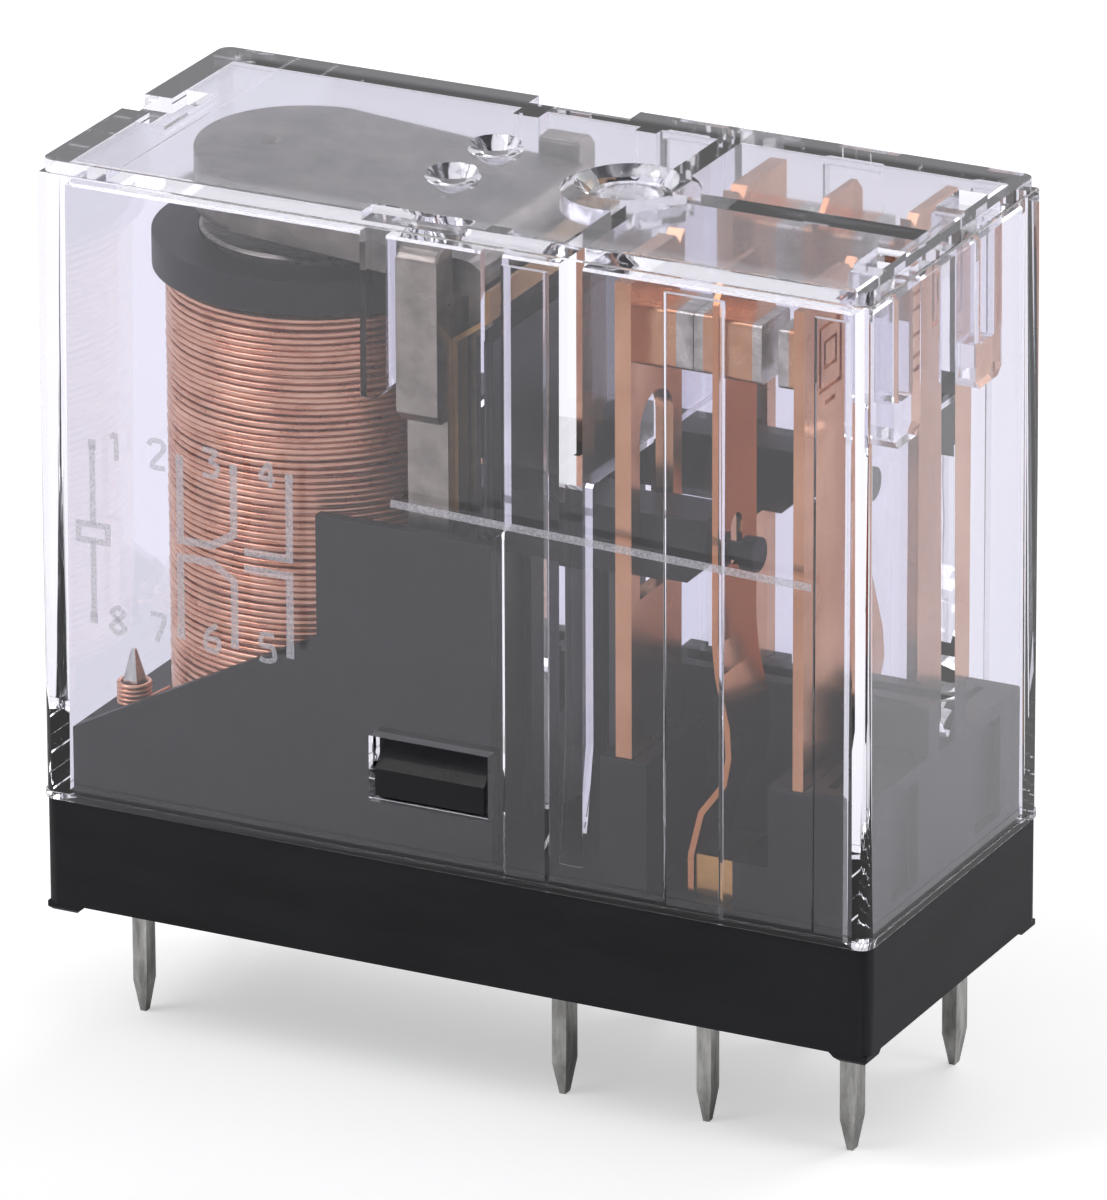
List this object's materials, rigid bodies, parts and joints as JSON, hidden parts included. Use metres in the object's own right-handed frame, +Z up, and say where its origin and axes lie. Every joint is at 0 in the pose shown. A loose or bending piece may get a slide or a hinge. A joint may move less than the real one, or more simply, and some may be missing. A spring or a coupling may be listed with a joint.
{
  "type": "power relay",
  "caption": "Two-pole change-over control relay for circuit boards: clear clip-on cover over coil, yoke, hinged armature, driver card, leaf springs and fixed contact strips.",
  "frame": {"origin": "centre of the rectangle of eight terminal pins, on the board surface that the four corner feet rest on", "axes": "+X along the long side from the coil end to the contact end, +Y across the relay towards the back pole (the front pole is at -Y), +Z up away from the board"},
  "size_m": [0.0289, 0.0126, 0.0292],
  "materials": {
    "black_moulding": "fine satin moulding",
    "clear_moulding": "clear polished polycarbonate",
    "enamelled_copper": "enamelled copper wire, close wound",
    "copper_strip": "rolled copper alloy strip, satin",
    "silver_contact": "silver alloy facing on a copper contact block",
    "nickel_plated_steel": "dull nickel plate over soft iron",
    "soft_iron": "turned soft iron, nickel plated",
    "spring_bronze": "phosphor bronze leaf",
    "tinned_pin": "dull tin plate"
  },
  "bodies": {
    "frame": {"base": "black_moulding", "cover": "clear_moulding", "bobbin": "black_moulding", "coil_winding": "enamelled_copper", "core": "soft_iron", "yoke": "nickel_plated_steel", "hinge_spring": "spring_bronze", "coil_terminal_front": "tinned_pin", "coil_lead_front": "enamelled_copper", "nc_terminal_front": "copper_strip", "com_terminal_front": "copper_strip", "no_terminal_front": "copper_strip", "nc_contact_front": "silver_contact", "no_contact_front": "silver_contact", "coil_terminal_back": "tinned_pin", "coil_lead_back": "enamelled_copper", "nc_terminal_back": "copper_strip", "com_terminal_back": "copper_strip", "no_terminal_back": "copper_strip", "nc_contact_back": "silver_contact", "no_contact_back": "silver_contact"},
    "armature": {"armature": "nickel_plated_steel", "card": "black_moulding"},
    "front_contact": {"movable_spring_front": "copper_strip", "moving_nc_contact_front": "silver_contact", "moving_no_contact_front": "silver_contact"},
    "back_contact": {"movable_spring_back": "copper_strip", "moving_nc_contact_back": "silver_contact", "moving_no_contact_back": "silver_contact"}
  },
  "joints": [
    {"name": "armature_hinge", "type": "hinge", "parent": "frame", "child": "armature", "pos_m": [-0.00085, 0, 0.02245], "axis": [0, -1, 0], "range_deg": [0, 4.2], "stiffness_Nm_per_rad": 0.03, "springref_deg": -2.86},
    {"name": "front_contact_hinge", "type": "hinge", "parent": "frame", "child": "front_contact", "pos_m": [0.00773, -0.0036, 0.0063], "axis": [0, 1, 0], "range_deg": [0, 1.8]},
    {"name": "back_contact_hinge", "type": "hinge", "parent": "frame", "child": "back_contact", "pos_m": [0.00773, 0.0036, 0.0063], "axis": [0, 1, 0], "range_deg": [0, 1.8]}
  ],
  "couplings": [
    {"joint": "front_contact_hinge", "follows": "armature_hinge", "ratio": 0.4286},
    {"joint": "back_contact_hinge", "follows": "armature_hinge", "ratio": 0.4286}
  ]
}
